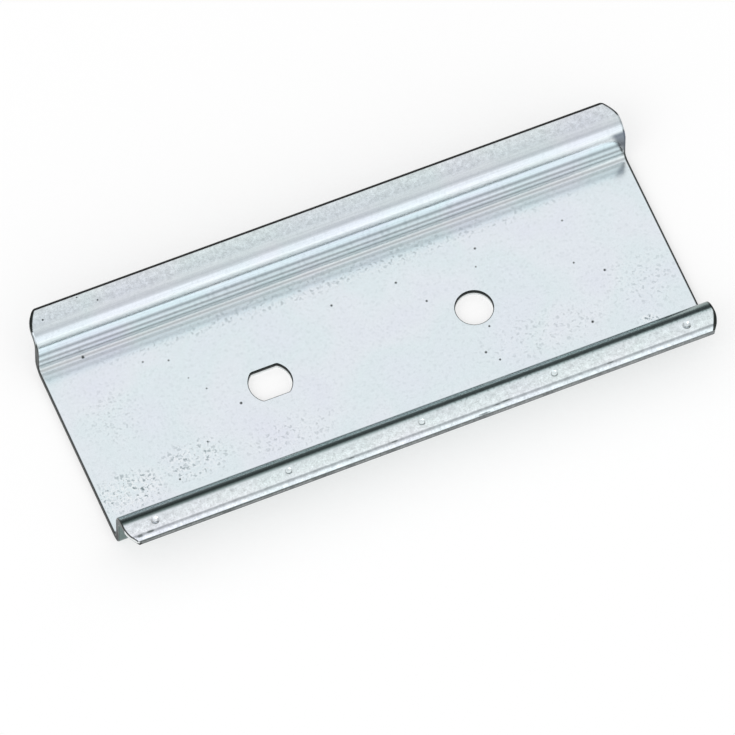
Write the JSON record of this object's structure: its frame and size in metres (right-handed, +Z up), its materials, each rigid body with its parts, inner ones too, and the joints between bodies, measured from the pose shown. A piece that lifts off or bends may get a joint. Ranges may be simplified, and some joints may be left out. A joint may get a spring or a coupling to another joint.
{
  "type": "din rail",
  "caption": "Short piece of bright zinc-plated steel top-hat mounting rail, open side up, with a round and a flatted screw hole in its base and a row of small dimples on one flange.",
  "frame": {"origin": "middle of the base's underside, which is the middle of the rail's length and width, on the surface that it lies on", "axes": "+X along the rail towards the end with the round hole, +Y across it towards the flange without dimples, +Z up from the base towards the open side"},
  "size_m": [0.078, 0.035, 0.0075],
  "materials": {
    "zinc_steel": "bright zinc plating"
  },
  "bodies": {
    "root": {"rail": "zinc_steel"}
  },
  "joints": []
}
